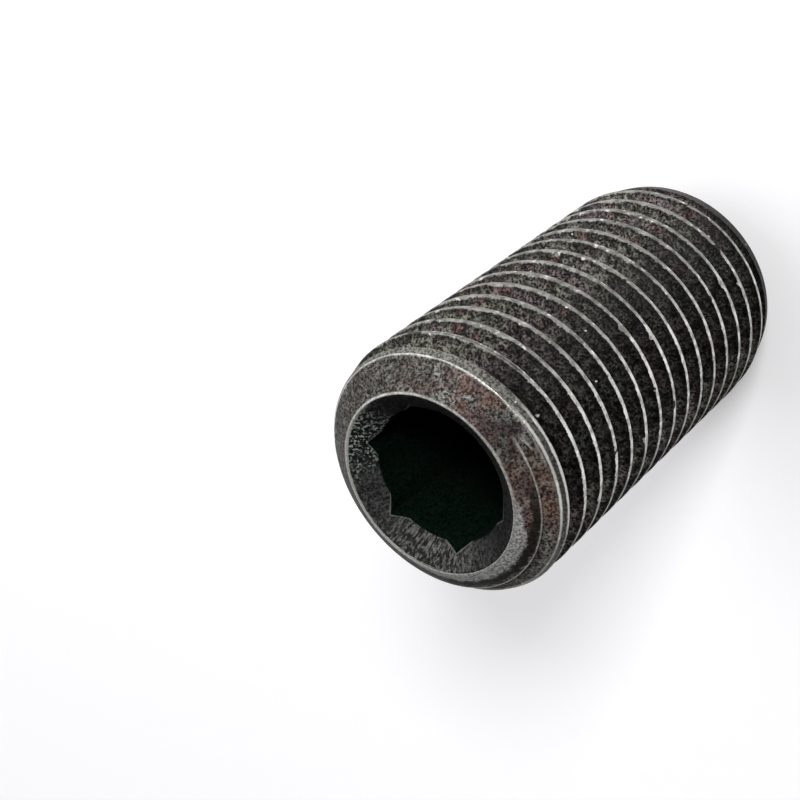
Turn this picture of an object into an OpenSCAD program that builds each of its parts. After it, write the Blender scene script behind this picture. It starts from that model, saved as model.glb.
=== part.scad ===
/* [Thread] */
// Outside diameter over the thread crests
major_d = 9.525; // [6:0.005:16]
// Distance from one crest to the next, along the axis
pitch = 1.0583; // [0.6:0.0001:2]
// Full length, cup rim to socket face
screw_len = 18.85; // [12:0.05:40]
// Height of the thread crest above the cup rim, on the +X side
crest_start = 0.0635; // [0:0.0005:1]
// Width of the worn, flattened thread crest
crest_flat = 0.21; // [0.08:0.01:0.35]
// Width of the thread root
root_flat = 0.06; // [0.05:0.01:0.3]

/* [Socket end] */
// Width of the countersink outside the corners of the hexagon
sink_width = 0.54; // [0.2:0.005:1]
// Flat width of the narrow ring between the countersink and the outer chamfer
ring_land = 0.1; // [0.05:0.01:0.3]
// Angle of the outer chamfer, from the end face
chamfer_deg = 36; // [20:1:45]
// How much lower the last, half-formed thread ends than the full crest
head_drop = 0.25; // [0.1:0.01:0.5]
// Length over which that thread grows to its full height
head_len = 0.55; // [0.3:0.05:2]
// Angle of the countersink's mouth, from the end face
countersink_deg = 35; // [20:1:50]
// Steeper angle of its throat, inside the corners of the hexagon
throat_deg = 52; // [40:1:65]
// Size of the hexagon socket, across its flats
key_af = 4.82; // [3:0.01:6]
// Depth of the hexagon below the end face
socket_depth = 5.6; // [3:0.1:9]
// How far the drilled hole stands outside the flats, which leaves a shallow arc in each
drill_relief = 0.12; // [0.02:0.01:0.2]
// Straight drilled depth below the hexagon
drill_extra = 0.7; // [0.3:0.1:2]
// Slope of the drill point at the bottom of the hole
drill_point_deg = 31; // [20:1:45]

/* [Cup point] */
// Outside diameter of the cup rim
cup_rim_d = 5.3; // [3.6:0.01:7]
// Width of the blunt rim
rim_land = 0.28; // [0.1:0.01:0.6]
// Depth of the round-bottomed cup
cup_depth = 1.2; // [0.5:0.05:2.5]
// Slope of the point, from the end face
point_deg = 45; // [30:1:55]
// How much lower the first, half-formed thread starts than the full crest
lead_drop = 0.33; // [0.1:0.01:0.6]
// Length over which that thread grows to its full height
lead_len = 1.4; // [0.6:0.1:3]

/* [Knurl] */
// Number of saw-tooth notches round the point
notch_count = 16; // [8:1:30]
// Length of a notch up the slope of the point
notch_len = 1.45; // [0.6:0.05:3]
// Depth of a notch, square to the slope
notch_depth = 0.17; // [0.05:0.01:0.4]
// Width of the gentle side of a notch
notch_width = 0.5; // [0.2:0.01:1]
// Lean of the notches to the slope line
notch_lean = 13; // [0:1:30]

/* [Hidden] */
$fn = 96;
eps = 0.5;

// thread form, sixty-degree flanks
flank_run = (pitch - crest_flat - root_flat) / 2;
thread_depth = flank_run / tan(30);
crest_mid = root_flat + flank_run + crest_flat / 2;
major_r = major_d / 2;
minor_r = major_r - thread_depth;
steps = 36;
turns = ceil(screw_len / pitch) + 4;
thread_z0 = crest_start - crest_mid - 2 * pitch;

// end forms
key_r = key_af / 2 / cos(30);
ring_in_r = key_r + sink_width;
ring_out_r = ring_in_r + ring_land;
blank_r = major_r + eps;
head_r = major_r - head_drop;
chamfer_drop = (head_r - ring_out_r) * tan(chamfer_deg);
head_fall = head_len * (blank_r - head_r) / head_drop;
rim_r = cup_rim_d / 2;
lead_r = major_r - lead_drop;
point_rise = (lead_r - rim_r) * tan(point_deg);
lead_rise = lead_len * (blank_r - lead_r) / lead_drop;
cup_r = rim_r - rim_land;
bowl_r = (cup_r * cup_r + cup_depth * cup_depth) / (2 * cup_depth);

// socket
drill_r = key_af / 2 + drill_relief;
drill_depth = socket_depth + drill_extra;
drill_tip = drill_r * tan(drill_point_deg);
mouth_depth = sink_width * tan(countersink_deg);
throat_depth = mouth_depth + (key_r - drill_r) * tan(throat_deg);
mouth_top_r = ring_in_r + eps / tan(countersink_deg);

// notch section: [across the notch, depth into the point]
steep_run = notch_depth * 0.25;
notch_section = [
    [-notch_width * (1 + eps / notch_depth), -eps],
    [0, notch_depth],
    [steep_run * (1 + eps / notch_depth), -eps]
];

function thread_r(j) = j < 2 ? minor_r : major_r;
function thread_dz(j) =
    j == 0 ? 0 :
    j == 1 ? root_flat :
    j == 2 ? root_flat + flank_run :
    root_flat + flank_run + crest_flat;
function thread_point(i, j) = [
    thread_r(j) * cos(i * 360 / steps),
    thread_r(j) * sin(i * 360 / steps),
    thread_z0 + pitch * i / steps + thread_dz(j)
];
// a fifth profile point is the first one, a turn later
function at(i, j) = j < 4 ? 4 * i + j : 4 * (i + steps);

module thread_rod() {
    last = turns * steps;
    low = 4 * (last + steps + 1);
    points = concat(
        [for (i = [0 : last + steps]) for (j = [0 : 3]) thread_point(i, j)],
        [[0, 0, thread_z0], [0, 0, thread_z0 + pitch * (turns + 1)]]
    );
    skin = [for (i = [0 : last - 1]) for (j = [0 : 3]) for (half = [0, 1])
        half == 0 ?
            [at(i, j), at(i, j + 1), at(i + 1, j + 1)] :
            [at(i, j), at(i + 1, j + 1), at(i + 1, j)]];
    bottom = concat(
        [for (i = [0 : steps - 1]) [low, at(i, 0), at(i + 1, 0)]],
        [for (j = [0 : 3]) [low, at(0, j + 1), at(0, j)]]
    );
    top = concat(
        [for (i = [last : last + steps - 1]) [low + 1, at(i + 1, 0), at(i, 0)]],
        [for (j = [0 : 3]) [low + 1, at(last, j), at(last, j + 1)]]
    );
    polyhedron(points = points, faces = concat(skin, bottom, top), convexity = 10);
}

module blank() {
    rotate_extrude()
        polygon([
            [0, 0],
            [rim_r, 0],
            [lead_r, point_rise],
            [blank_r, point_rise + lead_rise],
            [blank_r, screw_len - chamfer_drop - head_fall],
            [head_r, screw_len - chamfer_drop],
            [ring_out_r, screw_len],
            [0, screw_len]
        ]);
}

module socket() {
    translate([0, 0, screw_len - socket_depth])
        cylinder(r = key_r, h = socket_depth + eps, $fn = 6);
    // drilled hole with its point, the throat and the countersink, turned as one
    rotate_extrude()
        polygon([
            [0, screw_len - drill_depth - drill_tip],
            [drill_r, screw_len - drill_depth],
            [drill_r, screw_len - throat_depth],
            [key_r, screw_len - mouth_depth],
            [mouth_top_r, screw_len + eps],
            [0, screw_len + eps]
        ]);
}

module cup() {
    translate([0, 0, cup_depth - bowl_r])
        sphere(r = bowl_r);
}

module knurl() {
    for (i = [0 : notch_count - 1])
        rotate([0, 0, i * 360 / notch_count])
            translate([rim_r, 0, 0])
                rotate([0, -point_deg, 0])
                    rotate([0, 0, -notch_lean])
                        translate([-eps, 0, 0])
                            rotate([90, 0, 90])
                                linear_extrude(height = notch_len + eps)
                                    polygon(notch_section);
}

module set_screw() {
    color([0.16, 0.16, 0.15])
        difference() {
            intersection() {
                thread_rod();
                blank();
            }
            socket();
            cup();
            knurl();
        }
}

set_screw();
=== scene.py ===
import math

import bpy
from mathutils import Matrix, Vector


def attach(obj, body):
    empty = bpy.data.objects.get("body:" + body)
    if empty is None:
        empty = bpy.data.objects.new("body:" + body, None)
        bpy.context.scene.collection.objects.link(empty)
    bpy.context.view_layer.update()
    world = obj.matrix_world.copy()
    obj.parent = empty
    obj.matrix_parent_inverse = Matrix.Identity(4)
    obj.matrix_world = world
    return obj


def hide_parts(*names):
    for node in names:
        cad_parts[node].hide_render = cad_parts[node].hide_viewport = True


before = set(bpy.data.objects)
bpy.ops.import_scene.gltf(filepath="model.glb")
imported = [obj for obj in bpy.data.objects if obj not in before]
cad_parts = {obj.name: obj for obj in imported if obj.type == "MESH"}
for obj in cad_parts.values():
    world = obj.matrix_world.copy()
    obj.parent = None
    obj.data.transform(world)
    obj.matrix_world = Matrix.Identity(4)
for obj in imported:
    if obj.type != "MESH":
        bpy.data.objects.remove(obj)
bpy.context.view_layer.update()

MM = 0.001

# sizes of the screw, as in the CAD
MAJOR_R = 4.7625 * MM
PITCH = 1.0583 * MM
LENGTH = 18.85 * MM
CREST_START = 0.0635 * MM
CREST_FLAT = 0.21 * MM
ROOT_FLAT = 0.06 * MM
FLANK_RUN = (PITCH - CREST_FLAT - ROOT_FLAT) / 2
THREAD_DEPTH = FLANK_RUN / math.tan(math.radians(30))
MINOR_R = MAJOR_R - THREAD_DEPTH

KEY_AF = 4.82 * MM
KEY_R = KEY_AF / 2 / math.cos(math.radians(30))
SINK_WIDTH = 0.54 * MM
RING_LAND = 0.1 * MM
RING_IN_R = KEY_R + SINK_WIDTH
RING_OUT_R = RING_IN_R + RING_LAND
MOUTH_SLOPE = math.tan(math.radians(35))
THROAT_SLOPE = math.tan(math.radians(52))
CHAMFER_SLOPE = math.tan(math.radians(36))
HEAD_DROP = 0.25 * MM
HEAD_LEN = 0.55 * MM
HEAD_R = MAJOR_R - HEAD_DROP
HEAD_Z = LENGTH - (HEAD_R - RING_OUT_R) * CHAMFER_SLOPE
SOCKET_DEPTH = 5.6 * MM
DRILL_R = KEY_AF / 2 + 0.12 * MM
DRILL_DEPTH = SOCKET_DEPTH + 0.7 * MM
DRILL_SLOPE = math.tan(math.radians(31))

RIM_R = 2.65 * MM
RIM_LAND = 0.28 * MM
CUP_DEPTH = 1.2 * MM
LEAD_DROP = 0.33 * MM
LEAD_LEN = 1.4 * MM
LEAD_R = MAJOR_R - LEAD_DROP
LEAD_Z = LEAD_R - RIM_R
NOTCH_COUNT = 16
NOTCH_LEN = 1.45 * MM
NOTCH_DEPTH = 0.17 * MM
NOTCH_WIDTH = 0.5 * MM
NOTCH_LEAN = math.radians(13)

# how far a cutting tool reaches past the metal, how finely round forms are divided, and how
# close two points are to be one
PAST = 0.5 * MM
TURNED_STEPS = 192
HELIX_STEPS = 96
WELD = 0.001 * MM


# modelling helpers

def deselect():
    if bpy.context.mode != "OBJECT":
        bpy.ops.object.mode_set(mode="OBJECT")
    bpy.ops.object.select_all(action="DESELECT")


def work_on(piece):
    deselect()
    piece.select_set(True)
    bpy.context.view_layer.objects.active = piece


def outline(name, points):
    """One vertex, extruded from point to point in the XZ plane."""
    deselect()
    x, z = points[0]
    bpy.ops.mesh.primitive_plane_add(size=0.1 * MM, location=(x, 0, z))
    piece = bpy.context.object
    piece.name = name
    bpy.ops.object.transform_apply(location=True, rotation=True, scale=True)
    bpy.ops.object.mode_set(mode="EDIT")
    bpy.ops.mesh.select_mode(type="VERT")
    bpy.ops.mesh.select_all(action="SELECT")
    bpy.ops.mesh.merge(type="CENTER")
    for (x0, z0), (x1, z1) in zip(points, points[1:]):
        bpy.ops.mesh.extrude_vertices_move(
            TRANSFORM_OT_translate={"value": (x1 - x0, 0, z1 - z0)})
    bpy.ops.object.mode_set(mode="OBJECT")
    return piece


def spin_round(piece):
    """Spins an outline that starts and ends on the axis into a closed solid."""
    work_on(piece)
    bpy.ops.object.mode_set(mode="EDIT")
    bpy.ops.mesh.select_all(action="SELECT")
    bpy.ops.mesh.spin(
        steps=TURNED_STEPS, angle=2 * math.pi, center=(0, 0, 0), axis=(0, 0, 1))
    bpy.ops.mesh.select_all(action="SELECT")
    bpy.ops.mesh.remove_doubles(threshold=WELD)
    bpy.ops.mesh.normals_make_consistent(inside=False)
    bpy.ops.object.mode_set(mode="OBJECT")


def combine(piece, tool, operation):
    work_on(piece)
    cut = piece.modifiers.new("cut", "BOOLEAN")
    cut.solver = "EXACT"
    cut.operation = operation
    cut.object = tool
    bpy.ops.object.modifier_apply(modifier=cut.name)
    bpy.data.objects.remove(tool, do_unlink=True)


def open_edge_points(piece):
    """The points on the open borders of a mesh."""
    uses = {}
    for face in piece.data.polygons:
        for key in face.edge_keys:
            uses[key] = uses.get(key, 0) + 1
    border = {i for key, n in uses.items() if n == 1 for i in key}
    return [v for v in piece.data.vertices if v.index in border]


def select_only(piece, points):
    """Leaves the piece in edit mode with these points selected."""
    chosen = {v.index for v in points}
    work_on(piece)
    bpy.ops.object.mode_set(mode="EDIT")
    bpy.ops.mesh.select_mode(type="VERT")
    bpy.ops.mesh.select_all(action="DESELECT")
    bpy.ops.object.mode_set(mode="OBJECT")
    for v in piece.data.vertices:
        v.select = v.index in chosen
    bpy.ops.object.mode_set(mode="EDIT")


def arc(cx, cz, radius, start, end, steps):
    """Points on an arc in the XZ plane, angles in degrees from +X towards +Z."""
    angles = [math.radians(start + (end - start) * i / steps) for i in range(steps + 1)]
    return [(cx + radius * math.cos(a), cz + radius * math.sin(a)) for a in angles]


# the screw

def thread_profile():
    """One pitch of the thread, from root to root, with the corners rounded."""
    crest_round, root_round = 0.045 * MM, 0.05 * MM
    tuck_crest = crest_round * math.tan(math.radians(30))
    tuck_root = root_round * math.tan(math.radians(30))
    low = -ROOT_FLAT / 2
    foot = ROOT_FLAT / 2
    top = foot + FLANK_RUN
    end = top + CREST_FLAT
    points = [(MINOR_R, 0)]
    points += arc(MINOR_R + root_round, foot - tuck_root, root_round, 180, 120, 3)
    points += arc(MAJOR_R - crest_round, top + tuck_crest, crest_round, -60, 0, 3)
    points += [(MAJOR_R, (top + end) / 2)]
    points += arc(MAJOR_R - crest_round, end - tuck_crest, crest_round, 0, 60, 3)
    points += arc(MINOR_R + root_round, PITCH + low + tuck_root, root_round, -120, -180, 3)
    points += [(MINOR_R, PITCH)]
    return points


def thread_rod():
    """A closed rod with the thread along all of it, longer than the screw at both ends."""
    turns = math.ceil(LENGTH / PITCH) + 4
    crest_mid = PITCH / 2
    start = CREST_START - crest_mid - 2 * PITCH
    rod = outline("threaded rod", [(x, z + start) for x, z in thread_profile()])
    work_on(rod)
    helix = rod.modifiers.new("helix", "SCREW")
    helix.axis = "Z"
    helix.angle = 2 * math.pi
    helix.screw_offset = PITCH
    helix.iterations = turns
    helix.steps = helix.render_steps = HELIX_STEPS
    helix.use_merge_vertices = True
    helix.merge_threshold = WELD
    bpy.ops.object.modifier_apply(modifier=helix.name)
    bpy.ops.object.mode_set(mode="EDIT")
    bpy.ops.mesh.select_all(action="SELECT")
    bpy.ops.mesh.remove_doubles(threshold=WELD)
    bpy.ops.object.mode_set(mode="OBJECT")
    middle = start + PITCH * (turns + 1) / 2
    for below in (True, False):
        select_only(rod, [v for v in open_edge_points(rod) if (v.co.z < middle) == below])
        bpy.ops.mesh.select_mode(type="EDGE")
        bpy.ops.mesh.extrude_edges_move()
        bpy.ops.mesh.merge(type="CENTER")
        bpy.ops.mesh.select_mode(type="VERT")
        bpy.ops.object.mode_set(mode="OBJECT")
    bpy.ops.object.mode_set(mode="EDIT")
    bpy.ops.mesh.select_all(action="SELECT")
    bpy.ops.mesh.normals_make_consistent(inside=False)
    bpy.ops.object.mode_set(mode="OBJECT")
    return rod


def blank():
    """The turned form that the thread is cut into, from the cup's rim to the ring."""
    wide = MAJOR_R + PAST
    ring_round = 0.06 * MM
    ring = arc((RING_IN_R + RING_OUT_R) / 2, LENGTH - ring_round, ring_round, 54, 125, 4)
    lead_z = LEAD_Z + LEAD_LEN * (wide - LEAD_R) / LEAD_DROP
    head_z = HEAD_Z - HEAD_LEN * (wide - HEAD_R) / HEAD_DROP
    rim_mid = RIM_R - RIM_LAND / 2
    rim = [(rim_mid - 0.1 * MM, 0), (rim_mid + 0.07 * MM, 0),
           (RIM_R - 0.03 * MM, 0.012 * MM), (RIM_R + 0.03 * MM, 0.05 * MM)]
    points = [(0, 0)] + rim + [
        (LEAD_R, LEAD_Z),
        (wide, lead_z),
        (wide, head_z),
        (HEAD_R + 0.015 * MM, HEAD_Z - 0.033 * MM),
        (HEAD_R - 0.025 * MM, HEAD_Z + 0.014 * MM),
    ] + ring + [(RING_IN_R - 0.3 * MM, LENGTH - 0.02 * MM), (0, LENGTH - 0.02 * MM)]
    piece = outline("turned blank", points)
    spin_round(piece)
    return piece


def drilled_hole():
    top = LENGTH + PAST
    mouth_z = LENGTH - SINK_WIDTH * MOUTH_SLOPE
    points = [
        (0, LENGTH - DRILL_DEPTH - DRILL_R * DRILL_SLOPE),
        (DRILL_R, LENGTH - DRILL_DEPTH),
        (DRILL_R, mouth_z - (KEY_R - DRILL_R) * THROAT_SLOPE),
        (KEY_R, mouth_z),
        (RING_IN_R + PAST / MOUTH_SLOPE, top),
        (0, top),
    ]
    piece = outline("drilled and countersunk hole", points)
    spin_round(piece)
    return piece


def key_hole():
    """The hexagon, with a corner on +X."""
    deselect()
    height = SOCKET_DEPTH + PAST
    bpy.ops.mesh.primitive_cylinder_add(
        vertices=6, radius=KEY_R, depth=height,
        location=(0, 0, LENGTH - SOCKET_DEPTH + height / 2),
        rotation=(0, 0, math.radians(30)))
    piece = bpy.context.object
    piece.name = "hexagon broach"
    bpy.ops.object.transform_apply(location=True, rotation=True, scale=True)
    return piece


def cup_bowl():
    cup_r = RIM_R - RIM_LAND
    bowl_r = (cup_r ** 2 + CUP_DEPTH ** 2) / (2 * CUP_DEPTH)
    centre = CUP_DEPTH - bowl_r
    opening = math.degrees(math.asin(-centre / bowl_r))
    points = arc(0, centre, bowl_r, 90, opening - 12, 24)
    points += [(0, points[-1][1])]
    piece = outline("cup bowl", points)
    spin_round(piece)
    return piece


def knurl_notch():
    """A saw-tooth prism lying along the slope of the point, above the rim at angle 0."""
    reach = 1 + PAST / NOTCH_DEPTH
    steep = NOTCH_DEPTH * 0.25
    section = [(-NOTCH_WIDTH * reach, -PAST), (0, NOTCH_DEPTH), (steep * reach, -PAST)]
    deselect()
    bpy.ops.mesh.primitive_circle_add(vertices=3, radius=0.1 * MM, fill_type="NGON")
    piece = bpy.context.object
    piece.name = "knurl notch"
    for v, (across, deep) in zip(piece.data.vertices, section):
        v.co = (-PAST, across, deep)
    bpy.ops.object.mode_set(mode="EDIT")
    bpy.ops.mesh.select_all(action="SELECT")
    bpy.ops.mesh.extrude_region_move(
        TRANSFORM_OT_translate={"value": (NOTCH_LEN + PAST, 0, 0)})
    bpy.ops.mesh.select_all(action="SELECT")
    bpy.ops.mesh.normals_make_consistent(inside=False)
    bpy.ops.object.mode_set(mode="OBJECT")
    place = (Matrix.Translation((RIM_R, 0, 0))
             @ Matrix.Rotation(-math.radians(45), 4, "Y")
             @ Matrix.Rotation(-NOTCH_LEAN, 4, "Z"))
    piece.data.transform(place)
    return piece


def knurl():
    first = knurl_notch()
    copies = [first]
    for i in range(1, NOTCH_COUNT):
        work_on(first)
        bpy.ops.object.duplicate()
        other = bpy.context.object
        other.data.transform(Matrix.Rotation(2 * math.pi * i / NOTCH_COUNT, 4, "Z"))
        copies.append(other)
    deselect()
    for piece in copies:
        piece.select_set(True)
    bpy.context.view_layer.objects.active = first
    bpy.ops.object.join()
    first.name = "knurl"
    return first


def make_screw():
    screw = thread_rod()
    screw.name = "grub set screw"
    combine(screw, blank(), "INTERSECT")
    combine(screw, drilled_hole(), "DIFFERENCE")
    combine(screw, key_hole(), "DIFFERENCE")
    combine(screw, cup_bowl(), "DIFFERENCE")
    combine(screw, knurl(), "DIFFERENCE")
    work_on(screw)
    bpy.ops.object.mode_set(mode="EDIT")
    bpy.ops.mesh.select_all(action="SELECT")
    bpy.ops.mesh.remove_doubles(threshold=0.8 * WELD)
    bpy.ops.mesh.dissolve_degenerate(threshold=0.8 * WELD)
    bpy.ops.mesh.normals_make_consistent(inside=False)
    bpy.ops.object.mode_set(mode="OBJECT")
    bpy.ops.object.shade_smooth_by_angle(angle=math.radians(32))
    screw.name = "grub_set_screw"
    screw.data.name = "grub_set_screw"
    return screw


# the shades of each finish, from the dark of its grain to the light; some of them carry painted
# highlights and shade
OXIDE_PITS = (0.004, 0.0035, 0.003, 1)
BLASTED_OXIDE = (0.09, 0.0885, 0.078, 1), (0.235, 0.233, 0.213, 1)
CHAMFER_RUST = (0.03, 0.012, 0.008, 1), (0.128, 0.084, 0.07, 1)
CHAMFER_PLUM = (0.007, 0.0043, 0.0036, 1), (0.082, 0.061, 0.059, 1)
CHAMFER_STAIN_AND_SHADE = (0.001, 0.0008, 0.0007, 1), (0.012, 0.008, 0.005, 1)
BURNISHED = (0.13, 0.128, 0.13, 1), (0.42, 0.415, 0.41, 1)
BARE_EDGE = (0.36, 0.355, 0.33, 1), (0.66, 0.655, 0.62, 1)
FLANK_OLIVE = (0.0012, 0.0011, 0.0006, 1), (0.098, 0.097, 0.08, 1)
FLANK_PLUM = (0.0025, 0.0012, 0.0011, 1), (0.09, 0.071, 0.074, 1)
FLANK_RUST = (0.006, 0.002, 0.002, 1), (0.095, 0.058, 0.052, 1)
FLANK_RUBBED = (0.02, 0.019, 0.017, 1), (0.15, 0.147, 0.13, 1)
LOW_CREST = (0.055, 0.054, 0.047, 1), (0.22, 0.217, 0.197, 1)
FULL_CREST = (0.22, 0.217, 0.197, 1), (0.34, 0.336, 0.31, 1)
PAINTED_HIGHLIGHT = (0.78, 0.775, 0.74, 1)
GLINT = (0.95, 0.95, 0.93, 1)
DUST = (0.54, 0.54, 0.5, 1)
SINK_OXIDE = (0.002, 0.0017, 0.002, 1), (0.044, 0.0425, 0.044, 1)
SINK_STREAKS = (0.002, 0.002, 0.002, 1), (0.15, 0.15, 0.138, 1)
SINK_FLECKS = (0.001, 0.005, 0.0035, 1), (0.36, 0.385, 0.36, 1)
SINK_EDGE = (0.15, 0.155, 0.15, 1)
SINK_LIP = (0.3, 0.3, 0.285, 1)
OILY_WALL = (0.0005, 0.0022, 0.0012, 1), (0.0035, 0.0108, 0.0067, 1)
CONE_OLIVE = (0.03, 0.028, 0.022, 1), (0.15, 0.144, 0.122, 1)
CONE_BROWN = (0.022, 0.015, 0.014, 1), (0.10, 0.074, 0.068, 1)
CUP_BOWL = (0.035, 0.037, 0.039, 1), (0.066, 0.067, 0.064, 1)
CUP_RIM = (0.46, 0.455, 0.425, 1)


# shader building

def feed(tree, socket, value):
    """Links a socket to another one, or sets its number or colour."""
    if isinstance(value, bpy.types.NodeSocket):
        tree.links.new(value, socket)
    elif value is not None:
        socket.default_value = value


def put(tree, kind, settings=None, **values):
    """Adds a node, with its settings, and fills the named inputs."""
    node = tree.nodes.new(kind)
    for key, value in (settings or {}).items():
        setattr(node, key, value)
    for name, value in values.items():
        feed(tree, node.inputs[name.replace("_", " ")], value)
    return node


def calc(tree, operation, a, b=None, c=None, clamp=False):
    node = put(tree, "ShaderNodeMath", {"operation": operation, "use_clamp": clamp})
    for socket, value in zip(node.inputs, (a, b, c)):
        feed(tree, socket, value)
    return node.outputs[0]


def times(tree, value, *others):
    """Multiplies a value by each of the others in turn."""
    for other in others:
        value = calc(tree, "MULTIPLY", value, other)
    return value


def fade(tree, value, start, end, low=0.0, high=1.0):
    """Goes smoothly from low to high as the value goes from start to end."""
    node = put(tree, "ShaderNodeMapRange", {"interpolation_type": "SMOOTHSTEP"},
               Value=value, From_Min=start, From_Max=end, To_Min=low, To_Max=high)
    return node.outputs["Result"]


def mix(tree, amount, a, b, mode="MIX"):
    """A colour from a to b."""
    node = put(tree, "ShaderNodeMix",
               {"data_type": "RGBA", "blend_type": mode, "clamp_factor": True})
    for index, value in ((0, amount), (6, a), (7, b)):
        feed(tree, node.inputs[index], value)
    return node.outputs[2]


def lerp(tree, amount, a, b):
    """A number from a to b."""
    node = put(tree, "ShaderNodeMix", {"data_type": "FLOAT", "clamp_factor": True})
    for index, value in ((0, amount), (2, a), (3, b)):
        feed(tree, node.inputs[index], value)
    return node.outputs[0]


def speckle(tree, point, size, detail=2.0, roughness=0.5, seed=0.0):
    """Noise from 0 to 1 with features of about this size in millimetres."""
    node = put(tree, "ShaderNodeTexNoise", {"noise_dimensions": "4D"}, Vector=point, W=seed,
               Scale=1 / size, Detail=detail, Roughness=roughness)
    return node.outputs["Fac"]


def new_group(name, inputs, outputs):
    """An empty shader group: inputs as (name, kind, value), outputs as (name, kind)."""
    tree = bpy.data.node_groups.new(name, "ShaderNodeTree")
    for label, kind, value in inputs:
        socket = tree.interface.new_socket(
            label, in_out="INPUT", socket_type="NodeSocket" + kind)
        if value is not None:
            socket.default_value = value
    for label, kind in outputs:
        tree.interface.new_socket(label, in_out="OUTPUT", socket_type="NodeSocket" + kind)
    given = tree.nodes.new("NodeGroupInput").outputs
    return tree, given, tree.nodes.new("NodeGroupOutput").inputs


def use(tree, group, **values):
    """Places a group in a material and returns its outputs."""
    node = tree.nodes.new("ShaderNodeGroup")
    node.node_tree = group
    for name, value in values.items():
        feed(tree, node.inputs[name], value)
    return node.outputs


def around(tree, value, middle, reach, core, low=0.0, high=1.0):
    """High within the core of the middle, low beyond its reach."""
    off = calc(tree, "ABSOLUTE", calc(tree, "SUBTRACT", value, middle))
    return fade(tree, off, reach, core, low, high)


def around_turn(tree, turn, middle, reach, core, low=0.0, high=1.0):
    """As around, for a turn from -0.5 to 0.5, which closes on itself."""
    off = calc(tree, "WRAP", calc(tree, "SUBTRACT", turn, middle), 0.5, -0.5)
    return fade(tree, calc(tree, "ABSOLUTE", off), reach, core, low, high)


def in_mm(metres):
    return metres / MM


def make_place_group():
    """Where a point lies on the screw, all in millimetres, with Turn from -0.5 to 0.5.

    Depth is how far it lies under the turned blank, Head and End how far that blank tapers in
    at the socket and at the point, Margin how far inside the thread form, Across how far above
    the middle of the nearest crest, and Runout how far above the last crest.
    """
    tree, _, out = new_group("screw place", [], [
        ("Point", "Vector"), ("Radius", "Float"), ("Height", "Float"), ("Turn", "Float"),
        ("Depth", "Float"), ("Head", "Float"), ("End", "Float"), ("Margin", "Float"),
        ("Across", "Float"), ("Runout", "Float")])
    coordinates = put(tree, "ShaderNodeTexCoord").outputs["Object"]
    point = put(tree, "ShaderNodeVectorMath", {"operation": "SCALE"},
                Vector=coordinates, Scale=1 / MM).outputs[0]
    parts = put(tree, "ShaderNodeSeparateXYZ", Vector=point).outputs
    x, y, z = parts["X"], parts["Y"], parts["Z"]
    radius = calc(tree, "SQRT", calc(tree, "ADD", times(tree, x, x), times(tree, y, y)))
    turn = calc(tree, "DIVIDE", calc(tree, "ARCTAN2", y, x), 2 * math.pi)

    # the thread's own radius at this height and angle
    rise = calc(tree, "SUBTRACT", z, in_mm(CREST_START))
    rise = calc(tree, "DIVIDE", rise, in_mm(PITCH))
    climb = calc(tree, "SUBTRACT", rise, turn)
    phase = calc(tree, "FRACT", calc(tree, "ADD", climb, 0.5))
    across = times(tree, calc(tree, "SUBTRACT", phase, 0.5), in_mm(PITCH))
    down = calc(tree, "SUBTRACT", calc(tree, "ABSOLUTE", across), in_mm(CREST_FLAT) / 2)
    down = calc(tree, "MAXIMUM", down, 0.0)
    thread = calc(tree, "MULTIPLY_ADD", down, -1 / math.tan(math.radians(30)), in_mm(MAJOR_R))
    thread = calc(tree, "MAXIMUM", thread, in_mm(MINOR_R))
    last_crest = math.floor((HEAD_Z - CREST_START) / PITCH)
    runout = times(tree, calc(tree, "SUBTRACT", climb, last_crest), in_mm(PITCH))

    # how far the turned blank tapers in, at the socket end and at the point
    head = calc(tree, "MAXIMUM", 0.0, calc(
        tree, "MULTIPLY_ADD", z, HEAD_DROP / HEAD_LEN,
        in_mm(HEAD_DROP) - HEAD_DROP / HEAD_LEN * in_mm(HEAD_Z)))
    end = calc(tree, "MAXIMUM", 0.0, calc(
        tree, "MULTIPLY_ADD", z, -LEAD_DROP / LEAD_LEN,
        in_mm(LEAD_DROP) + LEAD_DROP / LEAD_LEN * in_mm(LEAD_Z)))
    end = calc(tree, "MAXIMUM", end, calc(tree, "SUBTRACT", in_mm(MAJOR_R - RIM_R), z))
    full = calc(tree, "SUBTRACT", in_mm(MAJOR_R), radius)
    drop = calc(tree, "ADD", head, end)

    for name, value in (
            ("Point", point), ("Radius", radius), ("Height", z), ("Turn", turn),
            ("Depth", calc(tree, "SUBTRACT", full, drop)), ("Head", head), ("End", end),
            ("Margin", calc(tree, "SUBTRACT", thread, radius)), ("Across", across),
            ("Runout", runout)):
        feed(tree, out[name], value)
    return tree


def make_grain_group():
    """The grainy oxide: fine speckle, coarser mottling and slow patches, each from 0 to 1."""
    tree, given, out = new_group(
        "oxide grain", [("Point", "Vector", None), ("Seed", "Float", 0.0)],
        [("Fine", "Float"), ("Coarse", "Float"), ("Patches", "Float"), ("Height", "Float")])
    point, seed = given["Point"], given["Seed"]
    fine = fade(tree, speckle(tree, point, 0.082, 1.5, 0.6, seed), 0.37, 0.64)
    coarse = fade(tree, speckle(tree, point, 0.26, 2.0, 0.55, seed), 0.36, 0.64)
    patches = fade(tree, speckle(tree, point, 1.5, 3.0, 0.6, seed), 0.42, 0.62)
    feed(tree, out["Fine"], fine)
    feed(tree, out["Coarse"], coarse)
    feed(tree, out["Patches"], patches)
    feed(tree, out["Height"], calc(tree, "MULTIPLY_ADD", coarse, 0.7, fine))
    return tree


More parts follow.
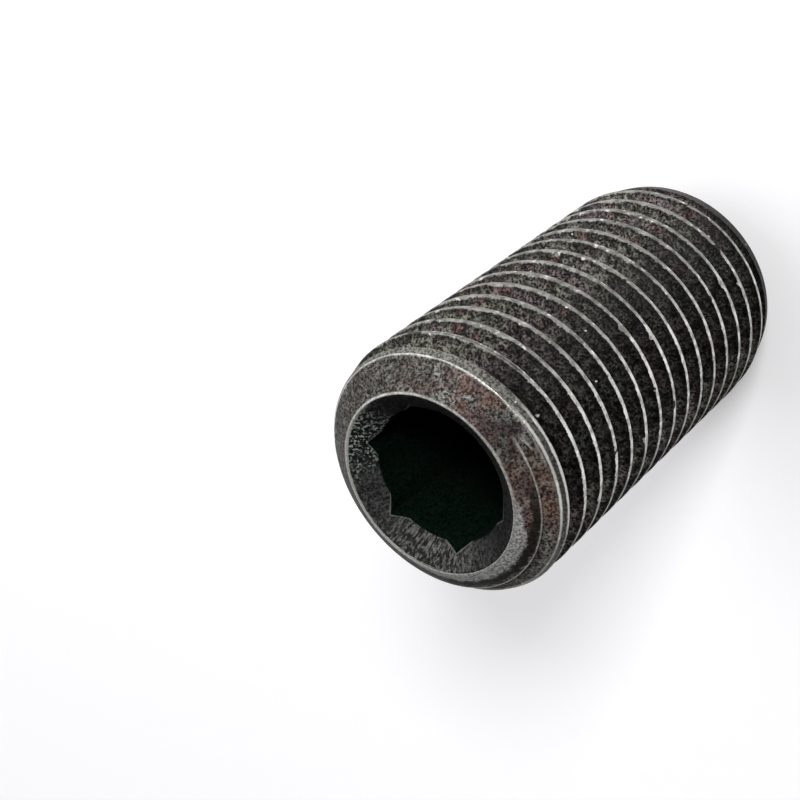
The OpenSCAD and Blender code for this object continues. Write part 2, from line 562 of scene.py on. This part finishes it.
def make_wear_group():
    """Bare metal up to a width from an edge, with a ragged border and small breaks."""
    tree, given, out = new_group("ragged wear", [
        ("Point", "Vector", None), ("Distance", "Float", 0.0), ("Width", "Float", 0.05),
        ("Raggedness", "Float", 0.05)], [("Wear", "Float")])
    point = given["Point"]
    slow = calc(tree, "SUBTRACT", speckle(tree, point, 0.6, 3.0, 0.6, 3.0), 0.5)
    quick = calc(tree, "SUBTRACT", speckle(tree, point, 0.1, 2.0, 0.6, 4.0), 0.5)
    jag = times(tree, calc(tree, "MULTIPLY_ADD", slow, 1.2, quick), given["Raggedness"])
    distance = calc(tree, "ADD", given["Distance"], jag)
    inner = times(tree, given["Width"], 0.35)
    feed(tree, out["Wear"], fade(tree, distance, given["Width"], inner))
    return tree


def make_dust_group():
    """Sparse pale specks of dust in two sizes, and a few short arcs of lint."""
    tree, given, out = new_group("dust specks", [
        ("Point", "Vector", None), ("Spacing", "Float", 1.0), ("Size", "Float", 0.05)],
        [("Specks", "Float")])
    point, spacing, size = given["Point"], given["Spacing"], given["Size"]
    warp = put(tree, "ShaderNodeTexNoise", Vector=point, Scale=9.0, Detail=1.0).outputs["Color"]
    warped = put(tree, "ShaderNodeVectorMath", {"operation": "MULTIPLY_ADD"}, Vector=warp)
    warped.inputs[1].default_value = (0.09, 0.09, 0.09)
    feed(tree, warped.inputs[2], point)

    def cells(apart):
        """The distance from the nearest of a loose set of points."""
        found = put(tree, "ShaderNodeTexVoronoi", Vector=warped.outputs[0],
                    Scale=calc(tree, "DIVIDE", 1.0, apart)).outputs["Distance"]
        return times(tree, found, apart)

    small = fade(tree, cells(spacing), size, times(tree, size, 0.5))
    large = fade(tree, cells(times(tree, spacing, 1.6)), times(tree, size, 1.8), size)
    ring = calc(tree, "SUBTRACT", cells(times(tree, spacing, 4.0)), times(tree, size, 6.0))
    lint = fade(tree, calc(tree, "ABSOLUTE", ring), 0.02, 0.008)
    broken = fade(tree, speckle(tree, point, 0.7, 1.0, 0.5, 21.0), 0.48, 0.53)
    specks = calc(tree, "MAXIMUM", small, large)
    feed(tree, out["Specks"],
         calc(tree, "MAXIMUM", specks, times(tree, lint, broken, 0.6)))
    return tree


def make_mottle_group():
    """Bead-blasted grey oxide with rust-brown and plum stains, as on the turned chamfer, made
    lighter and darker by turn with painted light and shade.
    """
    tree, given, out = new_group(
        "mottled oxide", [("Point", "Vector", None), ("Turn", "Float", 0.0)],
        [("Color", "Color"), ("Height", "Float"), ("Roughness", "Float")])
    point, turn = given["Point"], given["Turn"]
    grain = use(tree, grain_group, Point=point, Seed=2.0)
    pale = mix(tree, grain["Coarse"], *BLASTED_OXIDE)
    colour = mix(tree, grain["Fine"], OXIDE_PITS, pale)
    # painted light and shade: the colour is lightened and darkened by turn, with a painted
    # shadow on one side
    painted_light_and_shade = calc(tree, "ADD", around_turn(tree, turn, -0.1, 0.06, 0.02, 1.0, 1.3),
                around_turn(tree, turn, -0.29, 0.06, 0.02, 0.0, 0.5))
    painted_light_and_shade = times(tree, painted_light_and_shade, around_turn(tree, turn, 0.22, 0.25, 0.2, 1.0, 0.75),
                 around_turn(tree, turn, -0.186, 0.05, 0.015, 1.0, 0.68))

    # one side is stained most
    side = around_turn(tree, turn, -0.19, 0.2, 0.09, 0.25, 1.0)
    rust = fade(tree, speckle(tree, point, 0.95, 2.0, 0.6, 7.0), 0.44, 0.56)
    rust = calc(tree, "MAXIMUM", rust, around_turn(tree, turn, -0.225, 0.04, 0.01, 0.0, 0.7))
    rust = times(tree, rust, times(tree, side, 0.85))
    colour = mix(tree, rust, colour, mix(tree, grain["Fine"], *CHAMFER_RUST))
    plum = fade(tree, speckle(tree, point, 0.8, 2.0, 0.6, 9.0), 0.49, 0.6)
    plum = times(tree, plum, side)
    colour = mix(tree, plum, colour, mix(tree, grain["Fine"], *CHAMFER_PLUM))
    feed(tree, out["Color"], mix(tree, 1.0, colour, painted_light_and_shade, "MULTIPLY"))
    feed(tree, out["Height"], grain["Height"])
    feed(tree, out["Roughness"], lerp(tree, grain["Coarse"], 0.55, 0.72))
    return tree


place_group = make_place_group()
grain_group = make_grain_group()
wear_group = make_wear_group()
dust_group = make_dust_group()
mottle_group = make_mottle_group()


def new_material(name, gloss):
    """A material and its shader; gloss is the level of its plain reflection."""
    material = bpy.data.materials.new(name)
    material.use_nodes = True
    tree = material.node_tree
    shader = tree.nodes["Principled BSDF"]
    shader.inputs["Specular IOR Level"].default_value = gloss
    return material, tree, shader


def finish(tree, shader, colour, metal, roughness, height, bump_strength):
    """Wires what changes over a steel surface."""
    feed(tree, shader.inputs["Base Color"], colour)
    feed(tree, shader.inputs["Metallic"], metal)
    feed(tree, shader.inputs["Roughness"], roughness)
    bump = put(tree, "ShaderNodeBump", Strength=bump_strength, Distance=0.012 * MM,
               Height=height)
    feed(tree, shader.inputs["Normal"], bump.outputs["Normal"])


def wear_within(tree, point, distance, width, raggedness):
    return use(tree, wear_group, Point=point, Distance=distance, Width=width,
               Raggedness=raggedness)["Wear"]


def thread_steel():
    """Grainy black oxide on the flanks, crests rubbed bare, with painted light and shade on the
    flanks and a painted highlight on the crests.
    """
    material, tree, shader = new_material("black oxide thread", 0.08)
    place = use(tree, place_group)
    point, turn, depth, across = place["Point"], place["Turn"], place["Depth"], place["Across"]
    head, runout = place["Head"], place["Runout"]
    grain = use(tree, grain_group, Point=point, Seed=1.0)
    colour = mix(tree, grain["Fine"], *FLANK_OLIVE)
    colour = mix(tree, grain["Patches"], colour, mix(tree, grain["Fine"], *FLANK_PLUM))
    rust = fade(tree, speckle(tree, point, 1.1, 2.0, 0.6, 19.0), 0.57, 0.64)
    rust = times(tree, rust, around_turn(tree, turn, 0.0, 0.2, 0.08, 0.2, 0.9))
    colour = mix(tree, rust, colour, mix(tree, grain["Fine"], *FLANK_RUST))
    rubbed = fade(tree, speckle(tree, point, 2.0, 3.0, 0.6, 11.0), 0.54, 0.66)
    colour = mix(tree, times(tree, rubbed, 0.6), colour, mix(tree, grain["Fine"], *FLANK_RUBBED))

    # oil and scale stay dark in clumps and in the root, and the flank is darker just under the
    # crest; painted shade darkens the flanks and the first groove on the shaded side, and
    # painted light lightens the top flanks, most near the point end, and the flanks on the side
    # that faces the floor
    groove_painted_shade = around_turn(tree, turn, -0.19, 0.09, 0.04, 1.0, 0.42)
    first_groove = around(tree, runout, -0.5, 0.3, 0.2)
    top_flank = around_turn(tree, turn, -0.04, 0.16, 0.1, 1.0, 1.3)
    point_half = fade(tree, place["Height"], 8.0, 3.0)
    shade = times(
        tree, fade(tree, depth, 0.42, 0.66, 1.0, 0.35), fade(tree, depth, 0.06, 0.22, 0.45, 1.0),
        lerp(tree, grain["Coarse"], 0.27, 1.3),
        around_turn(tree, turn, -0.21, 0.13, 0.07, 1.0, 0.49),
        lerp(tree, first_groove, 1.0, groove_painted_shade),
        around_turn(tree, turn, -0.37, 0.09, 0.04, 1.0, 2.1),
        around_turn(tree, turn, -0.04, 0.12, 0.05, 1.0, 1.68),
        lerp(tree, point_half, 1.0, top_flank))
    colour = mix(tree, 1.0, colour, shade, "MULTIPLY")

    # the last run-out next to the chamfer is mottled as the chamfer is
    mottle = use(tree, mottle_group, Point=point, Turn=turn)
    above = times(tree, fade(tree, runout, 0.02, 0.2),
                  around_turn(tree, turn, -0.22, 0.28, 0.22))
    colour = mix(tree, above, colour, mottle["Color"])

    # the rough, half-formed crest next to the chamfer, with two light lines along it
    band = times(tree, fade(tree, head, 0.0, 0.02), fade(tree, depth, 0.06, 0.03),
                 around_turn(tree, turn, 0.12, 0.37, 0.21, 0.3, 1.0),
                 fade(tree, runout, 0.34, 0.26), 0.9)
    colour = mix(tree, band, colour, mix(tree, grain["Fine"], *LOW_CREST))
    lines = calc(tree, "MINIMUM", calc(tree, "ABSOLUTE", calc(tree, "ADD", across, 0.1)),
                 calc(tree, "ABSOLUTE", calc(tree, "SUBTRACT", across, 0.16)))
    lines = times(tree, wear_within(tree, point, lines, 0.06, 0.05),
                  fade(tree, head, 0.01, 0.06),
                  around_turn(tree, turn, -0.36, 0.22, 0.17), fade(tree, depth, 0.1, 0.05))

    # full crests are bare, with nicks and knocks; the low ends of the thread far less
    side_shift = around_turn(tree, turn, 0.14, 0.32, 0.2, 0.047, 0.098)
    rubbing = calc(tree, "SUBTRACT", across, side_shift)
    rubbing = calc(tree, "MAXIMUM", rubbing, calc(tree, "SUBTRACT", depth, 0.05))
    rubbing = calc(tree, "MULTIPLY_ADD", place["End"], 0.6, rubbing)
    knocks = speckle(tree, point, 0.7, 2.0, 0.5, 31.0)
    rubbing = calc(tree, "ADD", rubbing, fade(tree, knocks, 0.64, 0.71, 0.0, 0.12))
    rubbing = calc(tree, "SUBTRACT", rubbing, fade(tree, knocks, 0.35, 0.28, 0.0, 0.065))

    # the first full crest is rubbed along both its edges
    groove = times(tree, around(tree, across, 0.0, 0.06, 0.02),
                   around(tree, runout, in_mm(-PITCH), 0.3, 0.2),
                   around_turn(tree, turn, -0.08, 0.08, 0.05))
    strong = times(
        tree, fade(tree, speckle(tree, point, 0.3, 3.0, 0.65, 6.0), 0.34, 0.62, 0.38, 1.0),
        fade(tree, head, 0.0, 0.06, 1.0, 0.0), calc(tree, "MULTIPLY_ADD", groove, -0.55, 1.0))
    wear = times(tree, wear_within(tree, point, rubbing, 0.035, 0.12), strong)
    wear = calc(tree, "MAXIMUM", wear, lines)
    # painted highlight: the bare crests are made near white and more metallic on one side, and
    # glints are painted along them
    painted_highlight = around_turn(tree, turn, -0.25, 0.12, 0.02)
    bare = mix(tree, painted_highlight, mix(tree, grain["Coarse"], *FULL_CREST), PAINTED_HIGHLIGHT)
    glints = fade(tree, speckle(tree, point, 0.22, 2.0, 0.5, 27.0), 0.6, 0.68, 0.0, 0.7)
    colour = mix(tree, wear, colour, mix(tree, glints, bare, GLINT))
    dust = use(tree, dust_group, Point=point, Spacing=0.95, Size=0.05)["Specks"]
    colour = mix(tree, dust, colour, DUST)

    metal = times(tree, calc(tree, "SUBTRACT", wear, dust, clamp=True),
                  lerp(tree, painted_highlight, 0.6, 0.9))
    roughness = lerp(tree, wear, lerp(tree, grain["Coarse"], 0.36, 0.5), 0.46)
    height = times(tree, grain["Height"], lerp(tree, wear, 1.0, 0.5))
    finish(tree, shader, colour, metal, roughness, height, 0.5)
    return material


def chamfer_steel():
    """The turned chamfer: mottled grey oxide with brown stains and painted light and shade,
    burnished next to the ring.
    """
    material, tree, shader = new_material("mottled chamfer", 0.15)
    place = use(tree, place_group)
    point, radius, turn = place["Point"], place["Radius"], place["Turn"]
    mottle = use(tree, mottle_group, Point=point, Turn=turn)
    grain = use(tree, grain_group, Point=point, Seed=5.0)

    # a smooth crescent on one side of the ring, with a dark band outside it that is partly a
    # stain and partly painted shade
    wobble = calc(tree, "SUBTRACT", speckle(tree, point, 0.35, 3.0, 0.6, 13.0), 0.5)
    out_r = calc(tree, "ADD", calc(tree, "SUBTRACT", radius, in_mm(RING_OUT_R)),
                 times(tree, wobble, 0.45))
    width = around_turn(tree, turn, -0.44, 0.2, 0.05, 0.0, 0.52)
    smooth = times(tree, fade(tree, calc(tree, "SUBTRACT", out_r, width), 0.05, -0.03),
                   fade(tree, width, 0.02, 0.1))
    colour = mix(tree, smooth, mottle["Color"], mix(tree, grain["Fine"], *BURNISHED))
    stain_and_shade = times(tree, around(tree, out_r, 0.55, 0.24, 0.08),
                  around_turn(tree, turn, -0.41, 0.2, 0.11), 0.95)
    colour = mix(tree, stain_and_shade, colour, mix(tree, grain["Fine"], *CHAMFER_STAIN_AND_SHADE))

    # bare lines: the ring, the edge of the run-out and the outer edge of the chamfer
    ring_off = calc(tree, "SUBTRACT", radius, in_mm(RING_OUT_R + RING_IN_R) / 2)
    ring_off = calc(tree, "SUBTRACT", calc(tree, "ABSOLUTE", ring_off),
                    around_turn(tree, turn, 0.3, 0.22, 0.1, 0.0, 0.03))
    ring = times(tree, wear_within(tree, point, ring_off, 0.1, 0.04),
                 around_turn(tree, turn, -0.12, 0.2, 0.02, 0.95, 0.6))
    runout = times(tree, wear_within(tree, point, place["Margin"], 0.12, 0.08),
                   around_turn(tree, turn, -0.36, 0.18, 0.14), fade(tree, radius, 4.34, 4.27))
    rim_off = calc(tree, "SUBTRACT", in_mm(HEAD_R), radius)
    rim = times(tree, wear_within(tree, point, rim_off, 0.1, 0.07),
                around_turn(tree, turn, 0.15, 0.35, 0.25, 0.3, 1.0))
    wear = calc(tree, "MAXIMUM", ring, calc(tree, "MAXIMUM", runout, rim))
    colour = mix(tree, wear, colour, mix(tree, grain["Fine"], *BARE_EDGE))

    metal = times(tree, wear, 0.7)
    roughness = lerp(tree, wear, mottle["Roughness"], 0.4)
    plain = lerp(tree, calc(tree, "MAXIMUM", wear, smooth), 1.0, 0.2)
    height = times(tree, mottle["Height"], plain)
    finish(tree, shader, colour, metal, roughness, height, 0.8)
    return material


def socket_steel():
    """The countersink: dark and rough, sparkling on one side and streaked on the other."""
    material, tree, shader = new_material("dark countersink", 0.13)
    place = use(tree, place_group)
    point, turn, radius = place["Point"], place["Turn"], place["Radius"]
    grain = use(tree, grain_group, Point=point, Seed=3.0)
    colour = mix(tree, grain["Fine"], *SINK_OXIDE)

    # streaks down the slope: noise drawn out along the radius
    parts = put(tree, "ShaderNodeSeparateXYZ", Vector=point).outputs
    spread = calc(tree, "DIVIDE", 3.0, radius)
    outwards = put(tree, "ShaderNodeCombineXYZ", X=times(tree, parts["X"], spread),
                   Y=times(tree, parts["Y"], spread), Z=times(tree, radius, 0.5)).outputs[0]
    streaks = fade(tree, speckle(tree, outwards, 0.1, 2.0, 0.6, 23.0), 0.46, 0.58)
    streaks = times(tree, streaks, lerp(tree, grain["Fine"], 0.5, 1.0))
    low_side = around_turn(tree, turn, 0.44, 0.14, 0.03)
    colour = mix(tree, lerp(tree, low_side, 0.15, 0.8), colour,
                 mix(tree, streaks, *SINK_STREAKS))

    # flecks on one side; the rest is oiled
    wavering = calc(tree, "MULTIPLY_ADD", grain["Patches"], 0.04, turn)
    sparkle = fade(tree, speckle(tree, point, 0.09, 2.0, 0.6, 5.0), 0.5, 0.64)
    colour = mix(tree, around_turn(tree, wavering, 0.17, 0.14, 0.03), colour,
                 mix(tree, sparkle, *SINK_FLECKS))
    oiled = around_turn(tree, turn, -0.16, 0.3, 0.2, 1.0, 0.35)
    colour = mix(tree, 1.0, colour, oiled, "MULTIPLY")

    # light lines along the hexagon, by the distance outside its flats, and along the ring
    across = None
    for angle in (30, 90, 150):
        a = math.radians(angle)
        here = calc(tree, "MULTIPLY_ADD", parts["X"], math.cos(a),
                    times(tree, parts["Y"], math.sin(a)))
        here = calc(tree, "ABSOLUTE", here)
        across = here if across is None else calc(tree, "MAXIMUM", across, here)
    outside = calc(tree, "SUBTRACT", across, in_mm(KEY_AF) / 2)
    edge = times(tree, wear_within(tree, point, outside, 0.05, 0.06), 0.5)
    colour = mix(tree, edge, colour, SINK_EDGE)
    lip = calc(tree, "SUBTRACT", in_mm(RING_IN_R), radius)
    lip = times(tree, wear_within(tree, point, lip, 0.04, 0.05),
                around_turn(tree, turn, 0.28, 0.22, 0.1))
    colour = mix(tree, lip, colour, SINK_LIP)
    # painted shade: darker further down into the socket
    deep = fade(tree, place["Height"], in_mm(LENGTH) - 1.4, in_mm(LENGTH) - 0.5, 0.3, 1.0)
    colour = mix(tree, 1.0, colour, deep, "MULTIPLY")
    roughness = lerp(tree, grain["Coarse"], 0.5, 0.7)
    finish(tree, shader, colour, 0.0, roughness, grain["Height"], 0.8)
    return material


def wall_steel():
    """The broached walls and the drilled bottom: near black with oil, and darker towards the
    bottom with painted shade.
    """
    material, tree, shader = new_material("oily socket wall", 0.08)
    place = use(tree, place_group)
    grain = use(tree, grain_group, Point=place["Point"], Seed=6.0)
    colour = mix(tree, grain["Fine"], *OILY_WALL)
    # painted shade: darker towards the bottom of the socket
    deep = fade(tree, place["Height"], in_mm(LENGTH - SOCKET_DEPTH), in_mm(LENGTH) - 1.5,
                0.3, 1.0)
    colour = mix(tree, 1.0, colour, deep, "MULTIPLY")
    roughness = lerp(tree, grain["Coarse"], 0.45, 0.65)
    finish(tree, shader, colour, 0.0, roughness, grain["Height"], 0.5)
    return material


def point_steel():
    """The cup point: smooth olive-grey, with its rim and the knurl's ridges rubbed bare, and
    painted shade in the notches.
    """
    material, tree, shader = new_material("cup point", 0.25)
    place = use(tree, place_group)
    point, height, depth = place["Point"], place["Height"], place["Depth"]
    grain = use(tree, grain_group, Point=point, Seed=4.0)
    cone = mix(tree, grain["Patches"], mix(tree, grain["Fine"], *CONE_OLIVE),
               mix(tree, grain["Fine"], *CONE_BROWN))

    # inside the rim lies the smooth cup; outside it painted shade darkens the notches
    cup_r = in_mm(RIM_R - RIM_LAND)
    in_cup = times(tree, fade(tree, place["Radius"], cup_r + 0.02, cup_r - 0.02),
                   fade(tree, height, 0.0, 0.03))
    out_of_cup = calc(tree, "SUBTRACT", 1.0, in_cup)
    colour = mix(tree, in_cup, cone, mix(tree, grain["Coarse"], *CUP_BOWL))
    notch_painted_shade = times(tree, fade(tree, depth, 0.01, 0.1), out_of_cup)
    colour = mix(tree, 1.0, colour, lerp(tree, notch_painted_shade, 1.0, 0.25), "MULTIPLY")

    patchy = fade(tree, speckle(tree, point, 0.3, 2.0, 0.6, 25.0), 0.45, 0.6, 0.0, 0.5)
    ridges = times(tree, fade(tree, depth, 0.05, 0.0), fade(tree, height, 1.0, 0.5), patchy,
                   out_of_cup)
    wear = calc(tree, "MAXIMUM", wear_within(tree, point, height, 0.07, 0.05), ridges)
    colour = mix(tree, wear, colour, CUP_RIM)
    metal = times(tree, wear, 0.7)
    roughness = lerp(tree, wear, lerp(tree, grain["Coarse"], 0.42, 0.58), 0.4)
    plain = lerp(tree, calc(tree, "MAXIMUM", wear, in_cup), 1.0, 0.3)
    finish(tree, shader, colour, metal, roughness, times(tree, grain["Height"], plain), 0.4)
    return material


def dress(screw):
    """Gives each surface of the screw its material, by where its faces lie."""
    near = 0.012 * MM
    screw.data.materials.clear()
    for steel in (thread_steel, chamfer_steel, socket_steel, wall_steel, point_steel):
        screw.data.materials.append(steel())
    thread, chamfer, countersink, wall, point = range(5)
    for face in screw.data.polygons:
        centre = face.center
        r, z = math.hypot(centre.x, centre.y), centre.z
        upper = z > LENGTH / 2
        on_chamfer = abs(LENGTH - (r - RING_OUT_R) * CHAMFER_SLOPE - z) < near and r < HEAD_R
        on_point = abs(RIM_R + z - r) < near and z < LEAD_Z
        if upper and r < RING_IN_R + RING_LAND / 4:
            sloping = face.normal.z > 0.2 and z > LENGTH - SOCKET_DEPTH / 2
            face.material_index = countersink if sloping else wall
        elif upper and (r < MINOR_R - near or on_chamfer):
            face.material_index = chamfer
        elif not upper and (r < MINOR_R - near or on_point):
            face.material_index = point
        else:
            face.material_index = thread


screw = make_screw()
dress(screw)
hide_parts("set_screw")
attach(screw, "root")


# what lifts the lit paper to white in the picture and in reflections
FLOOR_GLOW = 0.28


def white_floor():
    """Matt white paper, which keeps the screw's shadow."""
    material, tree, shader = new_material("white paper", 0.1)
    point = put(tree, "ShaderNodeTexCoord").outputs["Object"]
    fibre = speckle(tree, point, 0.0012, 3.0, 0.6, 0.0)
    colour = mix(tree, fibre, (0.82, 0.82, 0.845, 1), (0.86, 0.86, 0.88, 1))
    feed(tree, shader.inputs["Base Color"], colour)
    shader.inputs["Roughness"].default_value = 0.9
    rays = put(tree, "ShaderNodeLightPath").outputs
    seen = calc(tree, "MAXIMUM", rays["Is Camera Ray"],
                calc(tree, "MAXIMUM", rays["Is Glossy Ray"], rays["Is Transmission Ray"]))
    glow = put(tree, "ShaderNodeEmission", Color=(1, 1, 1, 1),
               Strength=times(tree, seen, FLOOR_GLOW))
    both = tree.nodes.new("ShaderNodeAddShader")
    feed(tree, both.inputs[0], shader.outputs[0])
    feed(tree, both.inputs[1], glow.outputs[0])
    feed(tree, tree.nodes["Material Output"].inputs["Surface"], both.outputs[0])
    return material


deselect()
bpy.ops.mesh.primitive_plane_add(size=8, location=(0, 0, 0))
floor = bpy.context.object
floor.name = "floor"
floor.data.materials.append(white_floor())

# camera: the photograph's view of the screw
right = Vector((-0.28352, -0.76375, -0.57991))
up = Vector((0.90288, -0.00882, -0.42981))
ahead = Vector((-0.32316, 0.64545, -0.69208))
place = Vector((19.6552, -32.9375, 54.1756)) * MM
turned = Matrix((right, up, -ahead)).transposed().to_4x4()
camera_data = bpy.data.cameras.new("camera")
camera = bpy.data.objects.new("camera", camera_data)
bpy.context.scene.collection.objects.link(camera)
camera.matrix_world = Matrix.Translation(place) @ turned
camera_data.sensor_width = 36
camera_data.lens = 70.6
camera_data.clip_start = 1 * MM
camera_data.clip_end = 20
bpy.context.scene.camera = camera


# light

LAMP_DISTANCE = 0.4


def towards(azimuth, elevation):
    """The direction of a place in the sky, both angles in degrees."""
    a, e = math.radians(azimuth), math.radians(elevation)
    return Vector((math.cos(a) * math.cos(e), math.sin(a) * math.cos(e), math.sin(e)))


def lamp(name, azimuth, elevation, wide, high, level):
    """A soft light aimed at the middle of the screw.

    At level 1 a white surface that faces it, at the screw, shows as white.
    """
    middle = Vector((0, 0, LENGTH / 2))
    way = towards(azimuth, elevation)
    data = bpy.data.lights.new(name, "AREA")
    data.shape = "RECTANGLE"
    data.size = wide
    data.size_y = high
    data.energy = level * (math.pi * LAMP_DISTANCE) ** 2
    light = bpy.data.objects.new(name, data)
    bpy.context.scene.collection.objects.link(light)
    light.location = middle + way * LAMP_DISTANCE
    light.rotation_euler = way.to_track_quat("Z", "Y").to_euler()
    return light


lamp("low side light", azimuth=14, elevation=9, wide=0.4, high=0.1, level=0.4)
lamp("front light", azimuth=-42, elevation=38, wide=0.09, high=0.09, level=0.7)
lamp("overhead light", azimuth=50, elevation=46, wide=0.4, high=0.4, level=0.52)

world = bpy.data.worlds.new("soft studio")
bpy.context.scene.world = world
world.use_nodes = True
sky = world.node_tree
way = put(sky, "ShaderNodeTexCoord").outputs["Generated"]
facing = put(sky, "ShaderNodeVectorMath", {"operation": "DOT_PRODUCT"}, Vector=way)
facing.inputs[1].default_value = towards(50, 25)
background = sky.nodes["Background"]
background.inputs["Color"].default_value = (1, 1, 1, 1)
feed(sky, background.inputs["Strength"],
     fade(sky, facing.outputs["Value"], -0.3, 0.9, 0.1, 0.26))

bpy.context.scene.view_settings.view_transform = "Standard"
